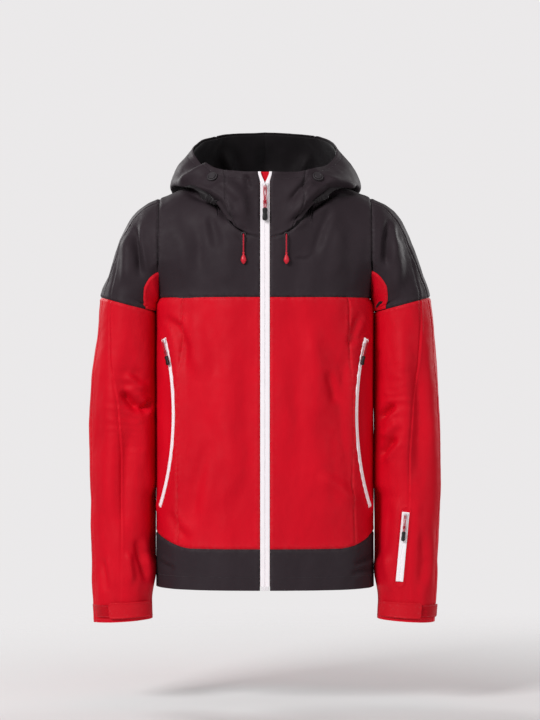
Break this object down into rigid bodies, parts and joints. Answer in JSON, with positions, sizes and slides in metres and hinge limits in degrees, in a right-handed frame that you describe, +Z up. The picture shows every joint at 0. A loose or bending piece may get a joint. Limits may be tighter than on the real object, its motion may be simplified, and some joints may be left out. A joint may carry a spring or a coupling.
{
  "type": "hooded ski jacket",
  "caption": "Hooded waterproof ski jacket in its worn shape, with two-colour shell panels, full-length front zip, curved pocket zips, cuff tabs and hood drawcords.",
  "frame": {"origin": "centre of the neck opening, level with the inner ends of the shoulder seams, where the wearer's shoulders or a hanger carry it", "axes": "+X to the wearer's left, -Y out of the front, +Z up from the hem to the hood"},
  "size_m": [0.6016, 0.3307, 0.8498],
  "materials": {
    "charcoal_shell": "matt three-layer woven face fabric",
    "red_shell": "matt three-layer woven face fabric",
    "zip_tape": "coated water-resistant zip tape, satin",
    "lining": "light knitted backer",
    "cord": "braided cord",
    "grip_rubber": "soft moulded rubber",
    "slider_metal": "satin"
  },
  "bodies": {
    "shell": {"front_panel_left": "red_shell", "front_panel_right": "red_shell", "side_panel_left": "red_shell", "side_panel_right": "red_shell", "back_panel": "red_shell", "hem_band_front_left": "charcoal_shell", "hem_band_front_right": "charcoal_shell", "hem_band_back": "charcoal_shell", "front_yoke_left": "charcoal_shell", "front_yoke_right": "charcoal_shell", "back_yoke": "charcoal_shell", "collar_left": "charcoal_shell", "collar_right": "charcoal_shell", "hood_side_left": "charcoal_shell", "hood_side_right": "charcoal_shell", "hood_back": "charcoal_shell", "hood_lining": "lining", "main_zip_tape_left": "zip_tape", "main_zip_tape_right": "zip_tape", "main_zip_stop": "zip_tape", "storm_flap": "red_shell", "pocket_zip_tape_left": "zip_tape", "pocket_zip_tape_right": "zip_tape", "pocket_bag_left": "lining", "pocket_bag_right": "lining", "cord_lock_housing_left": "charcoal_shell", "cord_lock_housing_right": "charcoal_shell", "hanging_loop": "charcoal_shell"},
    "main_slider": {"main_zip_slider": "slider_metal"},
    "main_pull": {"main_zip_pull_cord": "cord", "main_zip_pull_grip": "grip_rubber"},
    "pocket_slider_left": {"pocket_zip_slider_left": "slider_metal"},
    "pocket_pull_left": {"pocket_zip_pull_cord_left": "cord", "pocket_zip_pull_grip_left": "grip_rubber"},
    "sleeve_left": {"shoulder_left": "charcoal_shell", "upper_arm_left": "red_shell"},
    "forearm_left": {"forearm_front_left": "red_shell", "forearm_back_left": "red_shell", "cuff_patch_left": "charcoal_shell", "forearm_zip_tape": "zip_tape"},
    "cuff_tab_left": {"cuff_tab_left": "grip_rubber"},
    "drawcord_left": {"drawcord_left": "cord", "drawcord_end_left": "cord"},
    "cord_lock_left": {"cord_lock_button_left": "charcoal_shell"},
    "pocket_slider_right": {"pocket_zip_slider_right": "slider_metal"},
    "pocket_pull_right": {"pocket_zip_pull_cord_right": "cord", "pocket_zip_pull_grip_right": "grip_rubber"},
    "sleeve_right": {"shoulder_right": "charcoal_shell", "upper_arm_right": "red_shell"},
    "forearm_right": {"forearm_front_right": "red_shell", "forearm_back_right": "red_shell", "cuff_patch_right": "charcoal_shell"},
    "cuff_tab_right": {"cuff_tab_right": "grip_rubber"},
    "drawcord_right": {"drawcord_right": "cord", "drawcord_end_right": "cord"},
    "cord_lock_right": {"cord_lock_button_right": "charcoal_shell"},
    "forearm_slider": {"forearm_zip_slider": "slider_metal"},
    "forearm_pull": {"forearm_zip_pull_cord": "cord", "forearm_zip_pull_grip": "grip_rubber"}
  },
  "joints": [
    {"name": "main_zip_slide", "type": "slide", "parent": "shell", "child": "main_slider", "axis": [0, -0.036, -0.9994], "range_m": [0, 0.65943]},
    {"name": "main_zip_pull_swing", "type": "hinge", "parent": "main_slider", "child": "main_pull", "pos_m": [0, -0.1116, -0.01877], "axis": [-1, 0, 0], "range_deg": [0, 160]},
    {"name": "pocket_zip_slide_left", "type": "hinge", "parent": "shell", "child": "pocket_slider_left", "pos_m": [0.37692, 0.18427, -0.40784], "axis": [0.765, -0.6439, 0.0124], "range_deg": [0, 46.41]},
    {"name": "pocket_zip_pull_swing_left", "type": "hinge", "parent": "pocket_slider_left", "child": "pocket_pull_left", "pos_m": [0.1737, -0.07082, -0.27888], "axis": [-0.6024, -0.7086, 0.3675], "range_deg": [0, 140]},
    {"name": "shoulder_left", "type": "hinge", "parent": "shell", "child": "sleeve_left", "pos_m": [0.181, 0, -0.032], "axis": [0, -1, 0], "range_deg": [0, 50]},
    {"name": "elbow_left", "type": "hinge", "parent": "sleeve_left", "child": "forearm_left", "pos_m": [0.245, -0.072, -0.395], "axis": [-1, 0, 0], "range_deg": [0, 60]},
    {"name": "cuff_tab_left", "type": "hinge", "parent": "forearm_left", "child": "cuff_tab_left", "pos_m": [0.1947, -0.06638, -0.73297], "axis": [-0.0526, -0.0544, -0.9971], "range_deg": [0, 95]},
    {"name": "drawcord_swing_left", "type": "hinge", "parent": "shell", "child": "drawcord_left", "pos_m": [0.036, -0.10822, -0.1], "axis": [-1, 0, 0], "range_deg": [0, 75]},
    {"name": "cord_lock_press_left", "type": "slide", "parent": "shell", "child": "cord_lock_left", "axis": [-0.2298, 0.7662, -0.6002], "range_m": [0, 0.0015], "stiffness_N_per_m": 200},
    {"name": "pocket_zip_slide_right", "type": "hinge", "parent": "shell", "child": "pocket_slider_right", "pos_m": [-0.37692, 0.18427, -0.40784], "axis": [0.765, 0.6439, -0.0124], "range_deg": [0, 46.41]},
    {"name": "pocket_zip_pull_swing_right", "type": "hinge", "parent": "pocket_slider_right", "child": "pocket_pull_right", "pos_m": [-0.1737, -0.07082, -0.27888], "axis": [-0.6024, 0.7086, -0.3675], "range_deg": [0, 140]},
    {"name": "shoulder_right", "type": "hinge", "parent": "shell", "child": "sleeve_right", "pos_m": [-0.181, 0, -0.032], "axis": [0, 1, 0], "range_deg": [0, 50]},
    {"name": "elbow_right", "type": "hinge", "parent": "sleeve_right", "child": "forearm_right", "pos_m": [-0.245, -0.072, -0.395], "axis": [-1, 0, 0], "range_deg": [0, 60]},
    {"name": "cuff_tab_right", "type": "hinge", "parent": "forearm_right", "child": "cuff_tab_right", "pos_m": [-0.1947, -0.06638, -0.73297], "axis": [-0.0526, 0.0544, 0.9971], "range_deg": [0, 95]},
    {"name": "drawcord_swing_right", "type": "hinge", "parent": "shell", "child": "drawcord_right", "pos_m": [-0.036, -0.10822, -0.1], "axis": [-1, 0, 0], "range_deg": [0, 75]},
    {"name": "cord_lock_press_right", "type": "slide", "parent": "shell", "child": "cord_lock_right", "axis": [0.2298, 0.7662, -0.6002], "range_m": [0, 0.0015], "stiffness_N_per_m": 200},
    {"name": "forearm_zip_slide", "type": "slide", "parent": "forearm_left", "child": "forearm_slider", "axis": [-0.0936, -0.0325, -0.9951], "range_m": [0, 0.10678]},
    {"name": "forearm_zip_pull_swing", "type": "hinge", "parent": "forearm_slider", "child": "forearm_pull", "pos_m": [0.23664, -0.08949, -0.57305], "axis": [-0.9889, 0.1187, 0.0891], "range_deg": [0, 140]}
  ]
}
